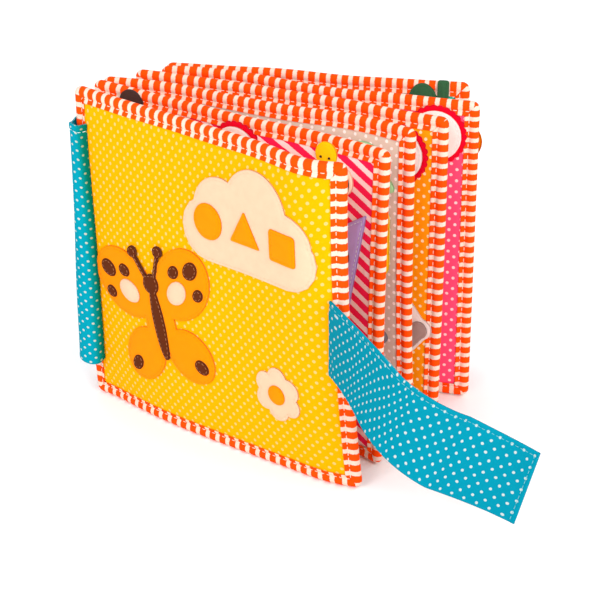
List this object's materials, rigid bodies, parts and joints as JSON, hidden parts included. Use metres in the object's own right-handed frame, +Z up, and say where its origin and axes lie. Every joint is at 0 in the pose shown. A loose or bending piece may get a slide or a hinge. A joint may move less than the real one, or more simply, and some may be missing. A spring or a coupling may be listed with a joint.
{
  "type": "quiet book",
  "caption": "Baby's cloth quiet book standing open like a fan: padded fabric leaves with striped bindings, felt appliqué pictures, a cloth spine and a closure strap",
  "frame": {"origin": "middle of the footprint, on the table the book stands on", "axes": "+Z up; +X from the spine towards the free edges of the leaves; the front cover faces -Y"},
  "size_m": [0.2662, 0.266, 0.2],
  "materials": {
    "yellow_dotted_cloth": "matte",
    "teal_green_dotted_cloth": "matte",
    "pink_striped_cloth": "matte",
    "taupe_dotted_cloth": "matte",
    "orange_dotted_cloth": "matte",
    "pink_dotted_cloth": "matte",
    "teal_dotted_cloth": "matte",
    "striped_binding": "matte",
    "cream_fastener": "matte",
    "cream_felt": "matte",
    "red_felt": "matte",
    "green_felt": "matte",
    "orange_felt": "matte",
    "brown_felt": "matte",
    "yellow_felt": "matte",
    "peach_felt": "matte",
    "purple_felt": "matte",
    "grey_felt": "matte",
    "taupe_felt": "matte",
    "dark_green_felt": "matte"
  },
  "bodies": {
    "book_block": {"spine_cloth": "teal_dotted_cloth", "inner_leaf_1_badge": "red_felt", "inner_leaf_1_badge_disc": "cream_felt", "inner_leaf_1_ball_spot": "brown_felt", "inner_leaf_1_binding": "striped_binding", "inner_leaf_1_brown_disc": "brown_felt", "inner_leaf_1_bucket": "purple_felt", "inner_leaf_1_bucket_spot": "brown_felt", "inner_leaf_1_panel": "pink_striped_cloth", "inner_leaf_1_peach_ball": "peach_felt", "inner_leaf_1_yellow_disc": "yellow_felt", "inner_leaf_2_binding": "striped_binding", "inner_leaf_2_grey_stone": "grey_felt", "inner_leaf_2_panel": "taupe_dotted_cloth", "inner_leaf_2_pineapple": "yellow_felt", "inner_leaf_2_pineapple_crown": "green_felt", "inner_leaf_3_badge": "red_felt", "inner_leaf_3_badge_disc": "cream_felt", "inner_leaf_3_binding": "striped_binding", "inner_leaf_3_heart": "cream_felt", "inner_leaf_3_panel": "orange_dotted_cloth", "inner_leaf_3_small_heart": "taupe_felt", "inner_leaf_4_back_disc": "orange_felt", "inner_leaf_4_badge": "red_felt", "inner_leaf_4_badge_disc": "cream_felt", "inner_leaf_4_binding": "striped_binding", "inner_leaf_4_panel": "pink_dotted_cloth"},
    "front_cover": {"butterfly_body": "brown_felt", "butterfly_wings": "orange_felt", "closure_strap": "teal_dotted_cloth", "cloud_circle": "orange_felt", "cloud_square": "orange_felt", "cloud_triangle": "orange_felt", "cover_cloud": "cream_felt", "cover_flower": "cream_felt", "flower_centre": "orange_felt", "front_cover_binding": "striped_binding", "front_cover_panel": "yellow_dotted_cloth", "front_hinge_sleeve": "teal_dotted_cloth", "strap_hook_patch": "cream_fastener", "wing_patch_left": "cream_felt", "wing_patch_right": "cream_felt", "wing_spot_left_1": "brown_felt", "wing_spot_left_2": "brown_felt", "wing_spot_left_3": "brown_felt", "wing_spot_left_4": "brown_felt", "wing_spot_right_1": "brown_felt", "wing_spot_right_2": "brown_felt", "wing_spot_right_3": "brown_felt", "wing_spot_right_4": "brown_felt"},
    "back_cover": {"back_cover_binding": "striped_binding", "back_cover_cactus": "dark_green_felt", "back_cover_loop_patch": "cream_fastener", "back_cover_panel": "teal_green_dotted_cloth", "back_hinge_sleeve": "teal_dotted_cloth"}
  },
  "joints": [
    {"name": "front_cover_hinge", "type": "hinge", "parent": "book_block", "child": "front_cover", "pos_m": [-0.12465, 0.04829, 0.1], "axis": [0, 0, 1], "range_deg": [-140, 6]},
    {"name": "back_cover_hinge", "type": "hinge", "parent": "book_block", "child": "back_cover", "pos_m": [-0.07682, 0.12453, 0.0965], "axis": [0, 0, 1], "range_deg": [-6, 140]}
  ]
}
